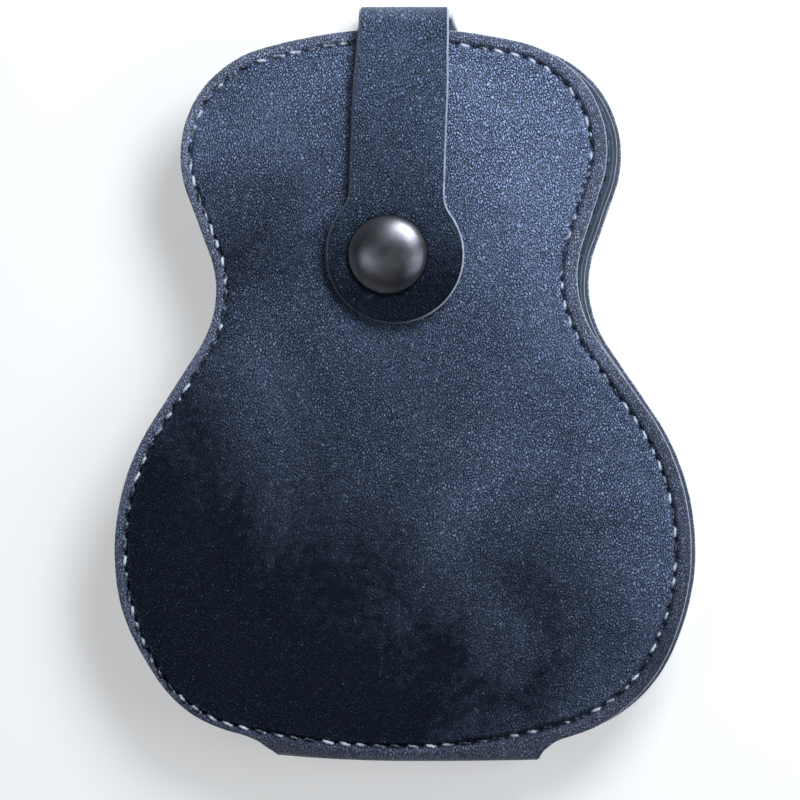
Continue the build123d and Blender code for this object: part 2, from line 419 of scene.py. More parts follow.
def fill(loop, inner):
    """Triangles over the area inside a loop. They count the loop's own points first, then inner's."""
    points = np.vstack([loop, inner]) if len(inner) else loop
    edges = [(i, (i + 1) % len(loop)) for i in range(len(loop))]
    found = delaunay_2d_cdt([Vector(p) for p in points.tolist()], edges, [], 1, 1e-6)
    where = {}
    for new, old in enumerate(found[3]):
        for o in old:
            where[o] = new
    back = {new: old for old, new in sorted(where.items(), reverse=True)}
    return [[back[v] for v in face] for face in found[2]]


def band(a, b, count):
    """Quads between two rings of points, whose first points are a and b."""
    return [[a + i, a + (i + 1) % count, b + (i + 1) % count, b + i] for i in range(count)]


def sheet(
    name, loop, inner, place, top, bottom, materials, edge=0.3, share=0.3, step=outline_step, floor_step=2.5,
    margin=None,
):
    """A sheet with rounded cut edges. top and bottom give its faces' heights over its pattern.
    Materials: grain face, cut edge, other face, and the margin, if the grain face has one.
    share: how much of the rounded edge is bare. margin: which points of the pattern lie in it."""
    loop = resample(soften(loop, 3.3 * edge), step)
    t, b = top(loop[:, 0], loop[:, 1]), bottom(loop[:, 0], loop[:, 1])
    round_over = np.minimum(edge, (t - b) / 2)
    rings = [
        (edge, t), (share * edge, t - share * round_over), (0, t - round_over),
        (0, b + round_over), (share * edge, b + share * round_over), (edge, b),
    ]
    count = len(loop)
    points, vertices, uv = [], [], []
    for amount, h in rings:
        ring = inset(loop, amount)
        points.append(ring)
        vertices.append(place(ring[:, 0], ring[:, 1], h))
        uv.append(loop - normals(loop) * (t - h)[:, None])
    faces, slots = [], []
    for k in range(len(rings) - 1):
        faces += band(k * count, (k + 1) * count, count)
        slots += [1 if 1 <= k <= 3 else 0] * count
    start = len(rings) * count
    first, last = points[0], points[-1]
    inner = inner[inside(inner, first, 0.12)] if len(inner) else inner
    top_faces = fill(first, inner)
    if len(inner):
        vertices.append(place(inner[:, 0], inner[:, 1], top(inner[:, 0], inner[:, 1])))
        uv.append(inner)
    faces += [[v if v < count else start + v - count for v in face] for face in top_faces]
    if margin:
        spots = np.vstack([first, inner])
        outside = margin(np.array([spots[face].mean(0) for face in top_faces]))
        slots = [3 if slot == 0 else slot for slot in slots] + [3 if out else 0 for out in outside]
    else:
        slots += [0] * len(top_faces)
    floor = grid(loop.min(0), loop.max(0), floor_step)
    floor = floor[inside(floor, last, floor_step / 2)]
    floor_faces = fill(last, floor)
    floor_start = start + len(inner)
    if len(floor):
        vertices.append(place(floor[:, 0], floor[:, 1], bottom(floor[:, 0], floor[:, 1])))
        uv.append(floor)
    ring_start = (len(rings) - 1) * count
    for face in floor_faces:
        faces.append([ring_start + v if v < count else floor_start + v - count for v in face][::-1])
    slots += [2] * len(floor_faces)
    return finish_mesh(name, np.vstack(vertices), faces, slots, np.vstack(uv), materials)


def lathe(name, profile, centre, materials, count=96, closed=False):
    """Turns a profile of (radius, height) points about the vertical line through centre."""
    profile = np.array(profile, float)
    angles = np.linspace(0, 2 * pi, count, endpoint=False)
    vertices, faces, rows = [], [], []
    for radius, z in profile:
        rows.append((len(vertices), radius > 1e-6))
        for a in angles if radius > 1e-6 else [0.0]:
            vertices.append((centre[0] + radius * cos(a), centre[1] + radius * sin(a), z))
    for (a, a_round), (b, b_round) in zip(rows, rows[1:] + (rows[:1] if closed else [])):
        quads = band(a, b, count)
        if a_round and b_round:
            faces += quads
        elif a_round:
            faces += [[here, after, b] for here, after, _, _ in quads]
        elif b_round:
            faces += [[a, after, here] for _, _, after, here in quads]
    return finish_mesh(name, vertices, faces, [0] * len(faces), None, materials)


def rounded(corners, radius, count=5):
    """A profile whose corners are rounded: (r, z) points, with the ends left sharp."""
    corners = [np.array(c, float) for c in corners]
    points = [corners[0]]
    for before, here, after in zip(corners, corners[1:], corners[2:]):
        back, on = before - here, after - here
        cut = min(radius, np.hypot(*back) / 2.01, np.hypot(*on) / 2.01)
        a, c = here + back / np.hypot(*back) * cut, here + on / np.hypot(*on) * cut
        for t in np.linspace(0, 1, count):
            points.append(a * (1 - t) ** 2 + 2 * here * t * (1 - t) + c * t**2)
    points.append(corners[-1])
    return points


# ---------------- materials

def node(tree, kind, inputs=None, **settings):
    """A shader node, with each input linked to a socket or set to a value."""
    made = tree.nodes.new("ShaderNode" + kind)
    for key, value in settings.items():
        setattr(made, key, value)
    for key, value in (inputs or {}).items():
        if isinstance(value, bpy.types.NodeSocket):
            tree.links.new(value, made.inputs[key])
        else:
            made.inputs[key].default_value = value
    return made


def new_material(name):
    material = bpy.data.materials.new(name)
    material.use_nodes = True
    tree = material.node_tree
    return material, tree, tree.nodes["Principled BSDF"]


def maths(tree, operation, a, b=0.0, c=0.0, clamp=False):
    return node(tree, "Math", {0: a, 1: b, 2: c}, operation=operation, use_clamp=clamp).outputs[0]


def vector_maths(tree, operation, a, b):
    return node(tree, "VectorMath", {0: a, 1: b}, operation=operation)


def blend_colour(tree, factor, *colours):
    """Blends two colours, each a socket or (red, green, blue)."""
    a, b = [c + (1.0,) if isinstance(c, tuple) else c for c in colours]
    return node(tree, "Mix", {0: factor, 6: a, 7: b}, data_type="RGBA").outputs[2]


def ramp(tree, value, low, high):
    """A smooth rise from 0 to 1 as the value goes from low to high."""
    limits = {"Value": value, "From Min": low, "From Max": high}
    return node(tree, "MapRange", limits, interpolation_type="SMOOTHSTEP").outputs["Result"]


def cloud(tree, vector, scale, detail, roughness=0.5, distortion=0.0, space="3D"):
    """A noise pattern's value, from 0 to 1."""
    inputs = {"Vector": vector, "Scale": scale, "Detail": detail}
    inputs.update({"Roughness": roughness, "Distortion": distortion})
    return node(tree, "TexNoise", inputs, noise_dimensions=space).outputs[0]


def add_bump(tree, shader, height, depth, strength=1.0):
    bump = node(tree, "Bump", {"Strength": strength, "Distance": depth, "Height": height})
    tree.links.new(bump.outputs[0], shader.inputs["Normal"])


def coat(tree, shader, base, roughness):
    """Gives the shader its colour and roughness."""
    tree.links.new(base, shader.inputs["Base Color"])
    tree.links.new(roughness, shader.inputs["Roughness"])


def grain_field(tree, vector, angle, stretch, scale, seed):
    """Pebbles drawn out in one direction: low in the creases between them, high on their backs."""
    turned = node(tree, "Mapping", {
        "Vector": vector, "Rotation": (0, 0, radians(angle)), "Scale": (1, stretch, 1),
        "Location": (seed, seed, 0),
    }).outputs[0]
    swell = cloud(tree, turned, scale, 1.5, space="2D")
    cells = node(
        tree, "TexVoronoi", {"Vector": turned, "Scale": scale, "Randomness": 1.0},
        feature="DISTANCE_TO_EDGE", voronoi_dimensions="2D",
    ).outputs["Distance"]
    crease = ramp(tree, maths(tree, "ABSOLUTE", maths(tree, "SUBTRACT", swell, 0.5)), 0.0, 0.12)
    height = maths(tree, "MULTIPLY", crease, 0.15)
    height = maths(tree, "MULTIPLY_ADD", ramp(tree, cells, 0.0, 0.35), 0.7, height)
    return maths(tree, "ADD", height, maths(tree, "MULTIPLY", ramp(tree, swell, 0.25, 0.75), 0.45))


def leather_relief(tree, uv, grain):
    """The grain's height, from two directions of pebbles that give way to each other."""
    wobble = node(tree, "TexNoise", {"Vector": uv, "Scale": 60.0, "Detail": 2.0}, noise_dimensions="2D")
    shift = vector_maths(tree, "SUBTRACT", wobble.outputs["Color"], (0.5, 0.5, 0.5)).outputs[0]
    shift = node(tree, "VectorMath", {0: shift, "Scale": 0.010}, operation="SCALE").outputs[0]
    warped = vector_maths(tree, "ADD", uv, shift).outputs[0]
    one = grain_field(tree, warped, 52, 0.60, 300 * grain, 0.0)
    two = grain_field(tree, warped, -38, 0.62, 285 * grain, 3.7)
    flow = ramp(tree, cloud(tree, uv, 5.0, 1.0, space="2D"), 0.40, 0.60)
    return node(tree, "Mix", {0: flow, 2: one, 3: two}, data_type="FLOAT").outputs[0]


def tone_and_painted_light(tree, uv, span, patches, rim, across):
    """How light the leather is at each place, from 0 to 1: lighter towards the top and the right, partly
    painted light from the upper right and partly the leather's own uneven colour; its clouds and speckle are
    its own tone.
    """
    moved = vector_maths(tree, "ADD", uv, (5.3, 2.1, 0.0)).outputs[0]
    clouds = cloud(tree, moved, 2.6, 5.0, 0.55, 0.5, space="2D")
    speckle = cloud(tree, uv, 70.0, 4.0, space="2D")
    x, y, _ = node(tree, "SeparateXYZ", {0: uv}).outputs
    # Lighter towards the top: partly painted light from above, partly the leather's own uneven colour.
    tone = node(tree, "MapRange", {"Value": y, "From Min": span[0], "From Max": span[1]}).outputs["Result"]
    side = ramp(tree, maths(tree, "ABSOLUTE", x), 0.26, 0.46)
    # Lighter to the right by across (to the left on the margin): partly painted light from that side.
    tone = maths(tree, "MULTIPLY_ADD", x, across, tone)
    tone = maths(tree, "MULTIPLY_ADD", side, rim, tone)
    tone = maths(tree, "MULTIPLY_ADD", maths(tree, "SUBTRACT", clouds, 0.5), 1.1 * patches, tone)
    tone = maths(tree, "MULTIPLY_ADD", maths(tree, "SUBTRACT", speckle, 0.5), 0.22 * patches, tone)
    return maths(tree, "MULTIPLY_ADD", tone, 1.0, 0.0, clamp=True)


def leather_material(
    name, dark, light, crease, span, grain=1.0, depth=0.00055, shine=0.25, patches=1.0, rim=0.0, across=1.0
):
    """Navy leather with a fine pebbled grain and cloudy patches of colour.
    span: where it is darkest and lightest along y, in grain units; on the covers and the strap this slope is
    partly painted light. patches: how strong the clouds are.
    rim: how much lighter it is towards its sides. across: how fast it grows lighter to the right, partly
    painted light from the right."""
    material, tree, shader = new_material(name)
    uv = node(tree, "UVMap", uv_map="grain").outputs[0]
    pebbles = leather_relief(tree, uv, grain)
    height = maths(tree, "MULTIPLY_ADD", cloud(tree, uv, 800.0, 2.0, space="2D"), 0.08, pebbles)
    height = maths(tree, "MULTIPLY_ADD", cloud(tree, uv, 40.0, 2.0, space="2D"), 0.5, height)
    add_bump(tree, shader, height, depth)
    tone = tone_and_painted_light(tree, uv, span, patches, rim, across)
    body = blend_colour(tree, tone, dark, light)
    # Darker in the grain's creases: partly the hide's own crease colour, partly painted shade.
    sunk = ramp(tree, pebbles, 0.90, 0.40)
    body = blend_colour(tree, maths(tree, "MULTIPLY", sunk, 0.82), body, crease)
    coat(tree, shader, body, maths(tree, "MULTIPLY_ADD", sunk, 0.14, shine))
    tree.links.new(maths(tree, "MULTIPLY_ADD", tone, 0.45, 0.40), shader.inputs["Specular IOR Level"])
    shader.inputs["Specular Tint"].default_value = (0.66, 0.80, 1.0, 1.0)
    return material


def edge_material():
    """Cut and painted leather edge, with painted light: pale where it faces right, as a painted highlight,
    and dark elsewhere, as painted shade.
    """
    material, tree, shader = new_material("cut_edge")
    place = node(tree, "TexCoord").outputs["Object"]
    fibres = cloud(tree, place, 2600.0, 4.0)
    layers = cloud(tree, place, 500.0, 3.0)
    pale_highlight = ramp(tree, layers, 0.10, 0.90)
    pale_highlight = blend_colour(tree, pale_highlight, (0.20, 0.25, 0.33), (0.50, 0.56, 0.66))
    # Painted light: pale where the edge faces right towards the key lamp, dark where it faces away.
    normal = node(tree, "TexCoord").outputs["Normal"]
    facing = vector_maths(tree, "DOT_PRODUCT", normal, (0.95, 0.30, 0.0)).outputs["Value"]
    mixed = blend_colour(tree, ramp(tree, facing, -0.25, 0.35), (0.035, 0.045, 0.075), pale_highlight)
    mixed = blend_colour(tree, maths(tree, "MULTIPLY", fibres, 0.4), mixed, (0.03, 0.04, 0.07))
    coat(tree, shader, mixed, ramp(tree, layers, 0.2, 1.6))
    add_bump(tree, shader, fibres, 0.00006)
    shader.inputs["Sheen Weight"].default_value = 0.3
    return material


def suede_material(name, dark, light):
    """Napped flesh side and lining: soft, fine and matt."""
    material, tree, shader = new_material(name)
    place = node(tree, "UVMap", uv_map="grain").outputs[0]
    nap = cloud(tree, place, 420.0, 5.0, 0.7)
    strokes = cloud(tree, place, 14.0, 3.0, distortion=1.2)
    tone = maths(tree, "MULTIPLY_ADD", nap, 0.6, maths(tree, "MULTIPLY", strokes, 0.5))
    body = blend_colour(tree, ramp(tree, tone, 0.3, 0.8), dark, light)
    coat(tree, shader, body, maths(tree, "MULTIPLY_ADD", nap, 0.2, 0.75))
    add_bump(tree, shader, nap, 0.00007, 0.9)
    shader.inputs["Sheen Weight"].default_value = 0.35
    shader.inputs["Sheen Roughness"].default_value = 0.6
    return material


def thread_material(name, glint_and_wear_colour):
    """Waxed navy thread with paler patches: painted glints on the outer seam's thread, and a faint paler
    tone on the inner thread.
    """
    material, tree, shader = new_material(name)
    place = node(tree, "TexCoord").outputs["Object"]
    fibres = cloud(tree, place, 5200.0, 3.0)
    pale_highlight = cloud(tree, place, 420.0, 2.0)
    # Painted glints: the paler patches stand in for light caught by the outer seam's thread.
    paler_patches = ramp(tree, pale_highlight, 0.42, 0.60)
    mixed = blend_colour(tree, paler_patches, (0.008, 0.012, 0.026), glint_and_wear_colour)
    mixed = blend_colour(tree, maths(tree, "MULTIPLY", fibres, 0.4), mixed, (0.02, 0.03, 0.05))
    coat(tree, shader, mixed, maths(tree, "MULTIPLY_ADD", pale_highlight, 0.25, 0.18))
    add_bump(tree, shader, fibres, 0.00004, 0.8)
    return material


def metal_material(name, base, paler_patches, rough):
    """Satin plated metal, hazy and very finely pitted."""
    material, tree, shader = new_material(name)
    place = node(tree, "TexCoord").outputs["Object"]
    haze = cloud(tree, place, 160.0, 3.0)
    mixed = blend_colour(tree, ramp(tree, haze, 0.35, 0.75), base, paler_patches)
    coat(tree, shader, mixed, maths(tree, "MULTIPLY_ADD", haze, 0.16, rough - 0.08))
    add_bump(tree, shader, cloud(tree, place, 900.0, 5.0, 0.6), 0.00001, 0.35)
    shader.inputs["Metallic"].default_value = 1.0
    return material


def board_material():
    """Grey fibre board."""
    material, tree, shader = new_material("stiffener_board")
    place = node(tree, "TexCoord").outputs["Object"]
    fibres = cloud(tree, place, 1500.0, 3.0)
    mixed = blend_colour(tree, fibres, (0.03, 0.03, 0.035), (0.08, 0.08, 0.085))
    coat(tree, shader, mixed, maths(tree, "MULTIPLY_ADD", fibres, 0.2, 0.6))
    return material


# The covers' leather is lighter towards the top and the right: partly painted light from the upper right.
navy = leather_material(
    "navy_leather", dark=(0.003, 0.007, 0.022), light=(0.335, 0.430, 0.700), crease=(0.002, 0.003, 0.008),
    span=(0.30, 1.18), rim=0.20,
)
# The pressed margin is smoother than the panel; its lighter tone, lighter still to the left, is partly
# painted sheen from the left.
margin_navy_and_sheen = leather_material(
    "pressed_margin_and_sheen", dark=(0.024, 0.031, 0.058), light=(0.330, 0.370, 0.545), crease=(0.006, 0.008, 0.018),
    span=(-0.7, 1.7), depth=0.00030, shine=0.34, patches=0.8, across=-0.35,
)
# The strap is lighter near its top bend and darker down towards the tab: partly painted light from above.
strap_navy = leather_material(
    "strap_leather", dark=(0.003, 0.008, 0.020), light=(0.205, 0.275, 0.460), crease=(0.002, 0.004, 0.008),
    span=(0.60, 0.06), across=0.4,
)
pocket_navy = leather_material(
    "pocket_leather", dark=(0.016, 0.022, 0.042), light=(0.040, 0.056, 0.100), crease=(0.007, 0.010, 0.020),
    span=(0.0, 1.2), grain=1.3, depth=0.00006, shine=0.48, patches=0.7,
)
cut_edge = edge_material()
flesh = suede_material("flesh_side", (0.020, 0.028, 0.048), (0.050, 0.066, 0.105))
lining_suede = suede_material("lining_suede", (0.012, 0.017, 0.034), (0.034, 0.046, 0.082))
# The outer seam's pale thread patches are painted glints.
thread = thread_material("waxed_thread", (0.62, 0.68, 0.78))
inner_thread = thread_material("inner_thread", (0.07, 0.09, 0.14))
gunmetal = metal_material("gunmetal", (0.085, 0.085, 0.10), (0.21, 0.21, 0.23), 0.32)
nickel = metal_material("nickel", (0.42, 0.42, 0.43), (0.58, 0.57, 0.56), 0.26)
board = board_material()


# ---------------- seams

seam_step = 0.05


class Seam:
    """A sewn line round a cover: where each stitch goes, and how far any point lies from the line."""

    def __init__(self, drift):
        line = inset(body_loop, seam_inset) + (drift, 0)
        self.line = resample(line, seam_step)
        self.normals = normals(self.line)
        self.count = round(seam_step * len(self.line) / stitch_pitch)
        self.pitch = len(self.line) / self.count
        self.tree = nearest_tree(self.line)

    def measure(self, x, y):
        """(distance from the line, positive inside; place within the stitch, from 0 to 1)."""
        nearest = np.array([self.tree.find((a, b, 0))[1] for a, b in zip(x, y)], int)
        away = np.c_[x, y] - self.line[nearest]
        return (away * self.normals[nearest]).sum(1), (nearest / self.pitch) % 1

    def stitches(self):
        """Each stitch's middle and its direction along the line."""
        for i in range(self.count):
            at = int((i + 0.5) * self.pitch) % len(self.line)
            n = self.normals[at]
            yield self.line[at], np.array([-n[1], n[0]])


def stitch_mesh(rows, place, twist=2.6, rounds=8, steps=11):
    """Twisted, slanting stitches that dip at their ends. Each row is (middle, direction, height of the
    surface, side that it shows on, length)."""
    vertices, faces = [], []
    s = np.linspace(-1, 1, steps)
    angles = np.linspace(0, 2 * pi, rounds, endpoint=False)
    for number, (middle, direction, surface, sign, length) in enumerate(rows):
        slant = radians(12 + 2.5 * sin(number * 2.4))
        along = np.array([
            direction[0] * cos(slant) + direction[1] * sin(slant),
            direction[1] * cos(slant) - direction[0] * sin(slant),
        ])
        across = np.array([-along[1], along[0]])
        start = len(vertices)
        for k, u in enumerate(s):
            sink = 0.75 * abs(u) ** 3.2
            taper = 1 - 0.25 * abs(u) ** 4
            for a in angles:
                ply = 1 + 0.16 * cos(2 * (a - twist * pi * u / 2))
                radius = thread_radius * taper * ply
                p = middle + along * (u * length / 2) + across * radius * cos(a)
                h = surface + sign * (-sink + radius * sin(a))
                vertices.append((p[0], p[1], h))
        for k in range(steps - 1):
            faces += band(start + k * rounds, start + (k + 1) * rounds, rounds)
        faces.append([start + i for i in range(rounds)][::-1])
        faces.append([start + (steps - 1) * rounds + i for i in range(rounds)])
    v = np.array(vertices)
    return place(v[:, 0], v[:, 1], v[:, 2]), faces


def roll(x, y, scale, seed):
    """Slow, uneven rise and fall of a hide, from -1 to 1."""
    return np.array([noise.noise(Vector((a / scale, b / scale, seed))) for a, b in zip(x, y)])


def groove_depth(x):
    """The front's thread is pulled tighter, and its furrow is deeper, towards the right."""
    return 0.45 + 0.50 * smooth((x + 14) / 28)


def groove(distance, phase, depth):
    """The furrow that the thread pulls, with a pit at each stitch's ends."""
    furrow = -depth * np.exp(-((distance / 0.46) ** 2))
    pit = np.minimum(phase, 1 - phase) * stitch_pitch
    furrow -= 0.8 * depth * np.exp(-((pit / 0.3) ** 2) - (distance / 0.34) ** 2)
    return furrow + 0.25 * depth * np.exp(-(((distance - 0.95) / 0.5) ** 2))


# ---------------- covers

def trim(side, loop):
    """The cut edge as the knife left it: slightly ragged, and nearer the seam at the front's lower left."""
    x, y = loop.T
    cut = 0.05 * roll(x, y, 0.9, 2.0) + 0.05 * roll(x, y, 6.0, 4.0)
    cut = cut * smooth((y - 1.0) / 4)
    if side == "front":
        cut = cut + 0.75 * smooth((-x - 21) / 6) * smooth((26 - y) / 12)
    return loop + normals(loop) * cut[:, None]


patterns = {side: trim(side, resample(cover_pattern(side), 0.1)) for side in ("front", "back")}
seams = {"front": Seam(seam_drift), "back": Seam(0.0)}
ring_insets = [
    0.45, 0.65, 0.85, 1.05, 1.2, 1.35, 1.5, 1.63, 1.76, 1.88, 2.0, 2.12, 2.24, 2.37, 2.5,
    2.65, 2.8, 3.0, 3.25, 3.55, 3.95, 4.45, 5.1, 5.9, 6.9,
]


def cover_points(drift):
    """Points over a cover's pattern: rings beside the seam, rows round the fold, a grid elsewhere."""
    rings = []
    for amount in ring_insets:
        ring = inset(body_loop, amount)
        if amount > 3.2:
            ring = resample(ring, outline_step * (amount / 3.2) ** 1.7)
        rings.append(ring + (drift * smooth(amount / 1.2), 0))
    rings = np.vstack(rings)
    rings = rings[rings[:, 1] > 1.55]
    rows = grid((-tab_corner, pattern_end + 0.15), (tab_corner, 1.5), 0.34)
    middle = grid((-50, 5), (50, 112), 1.25)
    middle = middle[inside(middle, inset(body_loop, 7.4), 0.0)]
    tongue = grid((-9, body_height - 0.4), (9, strap_reach), 0.34)
    return np.vstack([rings, rows, middle, tongue])


def cover_top(side):
    """The height of a cover's grain face: the seam's furrow, a crown inside it and a dip at the margin."""
    seam = seams[side]
    crown = 0.75 if side == "front" else 0.0

    def top(x, y):
        distance, phase = seam.measure(x, y)
        flat = smooth((y - 0.4) / 1.4)
        h = groove(distance, phase, groove_depth(x) if side == "front" else 0.2) * flat
        if side == "back":
            flat = flat * smooth((body_height - y) / 1.2)
            return h - 0.05 * flat * (1 + roll(x, y, 14.0, 2.0))
        h += crown * smooth(distance / 16.0) * (distance > 0) + 0.05 * roll(x, y, 9.0, 5.0) * flat
        h += 0.10 * roll(x, y, 22.0, 1.0) * smooth(distance / 6.0)
        margin = np.clip(-distance - 0.5, 0, None)
        return h - (0.12 + 0.04 * margin) * margin * flat
    return top


def corner_points(side, amount):
    """Where the fold's bend starts and ends on a cover."""
    z = thickness if side == "front" else 0.0
    out = 1 if side == "front" else -1
    start = (0, (fold_y + amount) * METRES, z * METRES)
    end = (0, fold_y * METRES, (z - out * amount) * METRES)
    return start, end


def make_cover(side):
    """One cover with its leather, lining, pockets, board and threads."""
    body = f"{side}_cover"
    place = place_on_cover(side)
    drift = seam_drift if side == "front" else 0.0
    skin = sheet(
        f"{side}_leather_skin", patterns[side], cover_points(drift), place, cover_top(side), flat_bottom,
        [navy, cut_edge, flesh, margin_navy_and_sheen], margin=lambda spots: seams[side].measure(*spots.T)[0] < 0,
    )
    stand_in(skin, f"{side}_cover_leather")
    start, end = corner_points(side, fold_radius)
    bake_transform(skin)
    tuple(start)
    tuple(end)
    make_lining(side, body, place)
    for tier in range(len(tier_names)):
        make_tier(side, body, place, tier)
    make_threads(side, body, place)
    show_as(f"{side}_stiffener", board)


def show_as(cad_node, material):
    """Gives a CAD node's own mesh a better material."""
    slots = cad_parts[cad_node].data.materials
    slots.clear()
    slots.append(material)


# ---------------- linings and pockets

def make_lining(side, body, place):
    """The lining lies on the leather's inner side and ends in its own cut edge."""
    loop = inset(body_loop, lining_edge)
    loop = loop[loop[:, 1] > fold_radius + 0.9]
    loop = loop + normals(loop) * 0.12 * roll(loop[:, 0], loop[:, 1], 5.0, 8.0)[:, None]
    points = grid((-50, 2), (50, 113), 1.6)

    def bottom(x, y):
        return -lining_face - 0.03 * roll(x, y, 8.0, 4.0)

    piece = sheet(
        f"{side}_lining_skin", loop, points, place, level(-leather - hairline), bottom,
        [lining_suede, cut_edge, lining_suede], edge=0.25, floor_step=1.6,
    )
    stand_in(piece, f"{side}_lining", body)


def pocket_middles(tier):
    """Where the middles of a tier's pockets lie across the cover."""
    first = -(pocket_counts[tier] - 1) / 2
    return [(first + i) * pocket_width for i in range(pocket_counts[tier])]


def divider_xs(tier):
    """Where the seams between a tier's pockets lie."""
    middles = pocket_middles(tier)
    return [(a + b) / 2 for a, b in zip(middles, middles[1:])]


def tier_depth(tier, y):
    """How deep in the cover a pocket sheet's open face lies: it climbs over the next sheet's edge."""
    climb = pocket_sheet if tier < len(tier_lips) - 1 else 0.0
    return lining_face + pocket_sheet + climb * smooth((y - tier_lips[tier] + 8.0) / 3.0)


def inner_depth(y):
    """The depth of the inside's open face at a height."""
    for tier, lip in enumerate(tier_lips):
        if y < lip and y > tier_bottoms[tier]:
            return tier_depth(tier, y)
    return lining_face


def tier_loop(tier):
    """A pocket sheet's edge: up the right side, back along the scalloped lip, and down."""
    bottom, lip = tier_bottoms[tier], tier_lips[tier]
    y = np.linspace(bottom, lip, 44)
    right = np.c_[half_width(y, pocket_inset), y]
    x = np.linspace(right[-1][0], -right[-1][0], 150)
    dip = np.zeros(len(x))
    for middle in pocket_middles(tier):
        dip = np.maximum(dip, scallop_depth * (1 - smooth(np.abs(x - middle) / scallop_radius)))
    mouth = np.c_[x, lip - dip]
    left = right[::-1] * (-1, 1)
    base = row(np.linspace(-right[0][0], right[0][0], 60)[1:-1], bottom)
    return np.vstack([right, mouth[1:-1], left, base])[::-1]


def make_tier(side, body, place, tier):
    """A pocket sheet: drawn in along its divider seams, and bulging a little between them."""
    loop = tier_loop(tier)
    points = grid(loop.min(0), loop.max(0), 0.9)
    dividers = divider_xs(tier)

    def face(x, y):
        h = tier_depth(tier, y)
        for at in dividers:
            h = h - 0.16 * np.exp(-(((x - at) / 0.6) ** 2))
        near = np.min([np.abs(x - at) for at in dividers], axis=0)
        return -(h + 0.10 * smooth(near / 7.0))

    def back(x, y):
        return -(tier_depth(tier, y) - pocket_sheet)

    # the open face looks into the holder, so it is the sheet's lower one
    piece = sheet(
        f"{side}_pocket_{tier + 1}", loop, points, place, back, face,
        [pocket_navy, lining_suede, pocket_navy], edge=0.22, step=0.45, floor_step=0.9,
    )
    stand_in(piece, f"{side}_{tier_names[tier]}", body)


def make_threads(side, body, place):
    """The edge seam, seen on both faces of the cover, and the seams between its pockets."""
    rows = []
    for middle, direction in seams[side].stitches():
        sunk = 0.30 if side == "back" else 0.9 * groove_depth(middle[0]) ** 2
        rows.append((middle, direction, -sunk, 1, stitch_reach))
    make_thread_piece(f"{side}_seam_thread", rows, place, body, thread, f"{side}_seam_stitches")
    rows = []
    for middle, direction in seams[side].stitches():
        depth = inner_depth(middle[1]) + hairline
        rows.append((middle, direction, -depth, -1, inner_stitch_reach))
    for tier, lip in enumerate(tier_lips):
        for x in divider_xs(tier):
            run = np.arange(tier_bottoms[tier] + 1.5, lip - 1.2, stitch_pitch)
            for y in run[run > (tier_lips[tier - 1] + 0.6 if tier else 0)]:
                depth = tier_depth(tier, y) - 0.06
                rows.append((np.array([x, y]), np.array([0.0, 1.0]), -depth, -1, inner_stitch_reach))
    make_thread_piece(f"{side}_inner_thread", rows, place, body, inner_thread, f"{side}_pocket_stitches")


def make_thread_piece(name, rows, place, body, material, replaced):
    vertices, faces = stitch_mesh(rows, place)
    piece = finish_mesh(name, vertices, faces, [0] * len(faces), None, [material])
    stand_in(piece, replaced, body)


# ---------------- fold

def band_loop(reach, low, high, count, spread=1.0):
    """The edge of a straight band across the fold. spread: how far out its long edges' points go."""
    side = np.c_[np.full(count, reach), np.linspace(low, high, count)]
    x = np.linspace(-tab_side, tab_side, 90)[1:-1] * spread
    return np.vstack([side, row(x[::-1], high), side[::-1] * (-1, 1), row(x, low)])[::-1]


def make_spine():
    """The straight stretch of the fold between its two bends, and its lining."""
    low = fold_radius + tab_run - overlap
    loop = band_loop(tab_side, low, thickness - low, 14)
    points = grid(loop.min(0), loop.max(0), 0.7)
    piece = sheet(
        "fold_leather_skin", loop, points, place_on_spine, under_top, under_bottom, [navy, cut_edge, flesh]
    )
    stand_in(piece, "spine_leather", "spine")
    inner_low, inner_high = node_box("spine_lining")
    loop = band_loop(tab_side - 0.3, inner_low[2], inner_high[2], 12, spread=0.98)
    depth = inner_high[1] - inner_low[1]
    piece = sheet(
        "fold_lining_skin", loop, grid(loop.min(0), loop.max(0), 0.7), place_on_spine,
        level(-leather - hairline), level(-leather - depth), [lining_suede, cut_edge, lining_suede],
        edge=0.2, floor_step=0.8,
    )
    stand_in(piece, "spine_lining", "spine")


# ---------------- strap

strap_materials = [strap_navy, cut_edge, flesh]


def strap_piece(name, start, stop, top, bottom):
    """A stretch of the strap, from start to stop along it."""
    s = np.arange(start, stop, 0.3)
    s = np.r_[s[s < stop - 0.15], stop]
    right = np.c_[strap_half_width(np.maximum(s, tongue_end)), s]
    x = np.linspace(1, -1, 46)[1:-1]
    upper, lower = row(x * right[-1][0], stop), row(-x * right[0][0], start)
    loop = np.vstack([right, upper, right[::-1] * (-1, 1), lower])[::-1]
    points = grid(loop.min(0), loop.max(0), 0.4)
    return sheet(
        name, loop, points, place_on_strap, top, bottom, strap_materials, edge=0.4, share=0.6, floor_step=0.8
    )


def strap_tab_loop(start):
    """The flap's edge: down the strap, round the neck's fillet, round the tab, and back."""
    centre = np.array([-0.1, strap_lengths[3] + tab_drop])
    halves = []
    for sign in (1, -1):
        edge = strap_half_width(centre[1] - 12)
        side_x = sign * (edge + neck_radius)
        run = side_x - centre[0]
        rise = np.sqrt((tab_radius + neck_radius) ** 2 - run**2)
        pivot = np.array([side_x, centre[1] - rise])
        s = np.arange(start, pivot[1], 0.3)
        straight = np.c_[sign * strap_half_width(s), s]
        aim = centre - pivot
        meet = np.arctan2(aim[1], aim[0])
        first = pi if sign > 0 else 0.0
        bend = np.linspace(first, meet, 22)
        fillet = pivot + neck_radius * np.c_[np.cos(bend), np.sin(bend)]
        halves.append((np.vstack([straight, fillet]), np.arctan2(-aim[1], -aim[0])))
    (right, right_angle), (left, left_angle) = halves
    sweep = np.linspace(right_angle, left_angle + 2 * pi, 180)[1:-1]
    cap = centre + tab_radius * np.c_[np.cos(sweep), np.sin(sweep)]
    back = row(np.linspace(left[0][0], right[0][0], 46)[1:-1], start)
    return np.vstack([right, cap, left[::-1], back])[::-1], centre


